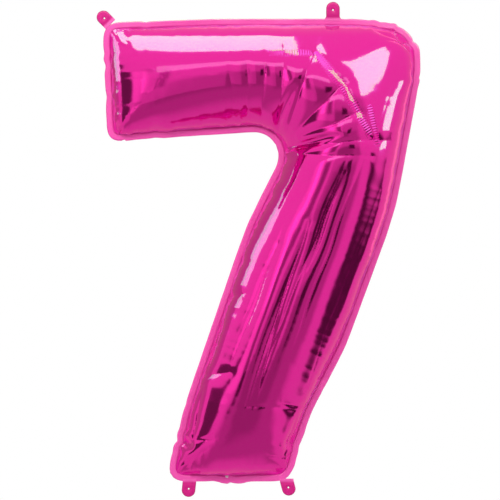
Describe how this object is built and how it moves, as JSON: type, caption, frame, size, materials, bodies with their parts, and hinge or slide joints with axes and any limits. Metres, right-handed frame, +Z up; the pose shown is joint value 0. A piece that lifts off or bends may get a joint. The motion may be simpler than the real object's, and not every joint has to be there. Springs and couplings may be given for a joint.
{
  "type": "foil number balloon",
  "caption": "Inflated magenta foil balloon shaped like the digit seven, with punched tabs for hanging it and a self-sealing filling valve in its foot.",
  "frame": {"origin": "centre of the punched hole in the top tab, in the plane of the seam", "axes": "+Z up, along the height of the digit; +X to the right as the digit is read; the front that is read faces -Y"},
  "size_m": [0.596, 0.2162, 0.9109],
  "materials": {
    "foil": "polished",
    "weld": "gloss",
    "tab_foil": "polished",
    "valve_ply": "satin",
    "release_print": "matte"
  },
  "bodies": {
    "balloon": {"front_film": "foil", "back_film": "foil", "perimeter_weld": "weld", "valve_inlet_front_ply": "valve_ply", "valve_inlet_back_ply": "valve_ply", "valve_release_print": "release_print"},
    "top_tab": {"tab_top": "tab_foil"},
    "top_left_tab": {"tab_top_left": "tab_foil"},
    "bottom_left_tab": {"tab_bottom_left": "tab_foil"},
    "bottom_right_tab": {"tab_bottom_right": "tab_foil"},
    "valve_sleeve": {"valve_sleeve_back_ply": "valve_ply"},
    "valve_flap": {"valve_sleeve_front_ply": "valve_ply"}
  },
  "joints": [
    {"name": "top_tab_fold", "type": "hinge", "parent": "balloon", "child": "top_tab", "pos_m": [0, 0, -0.01585], "axis": [1, 0, 0], "range_deg": [-80, 80], "stiffness_Nm_per_rad": 0.0006},
    {"name": "top_left_tab_fold", "type": "hinge", "parent": "balloon", "child": "top_left_tab", "pos_m": [-0.41291, 0, -0.02289], "axis": [0.7071, 0, 0.7071], "range_deg": [-80, 80], "stiffness_Nm_per_rad": 0.0006},
    {"name": "bottom_left_tab_fold", "type": "hinge", "parent": "balloon", "child": "bottom_left_tab", "pos_m": [-0.264, 0, -0.86715], "axis": [1, 0, 0], "range_deg": [-80, 80], "stiffness_Nm_per_rad": 0.0006},
    {"name": "bottom_right_tab_fold", "type": "hinge", "parent": "balloon", "child": "bottom_right_tab", "pos_m": [-0.085, 0, -0.86715], "axis": [1, 0, 0], "range_deg": [-80, 80], "stiffness_Nm_per_rad": 0.0006},
    {"name": "valve_sway", "type": "hinge", "parent": "balloon", "child": "valve_sleeve", "pos_m": [-0.1845, 0, -0.85485], "axis": [1, 0, 0], "range_deg": [-25, 25], "stiffness_Nm_per_rad": 0.002},
    {"name": "valve_flap_open", "type": "hinge", "parent": "valve_sleeve", "child": "valve_flap", "pos_m": [-0.1845, 0, -0.85485], "axis": [1, 0, 0], "range_deg": [0, 8], "stiffness_Nm_per_rad": 0.001}
  ]
}
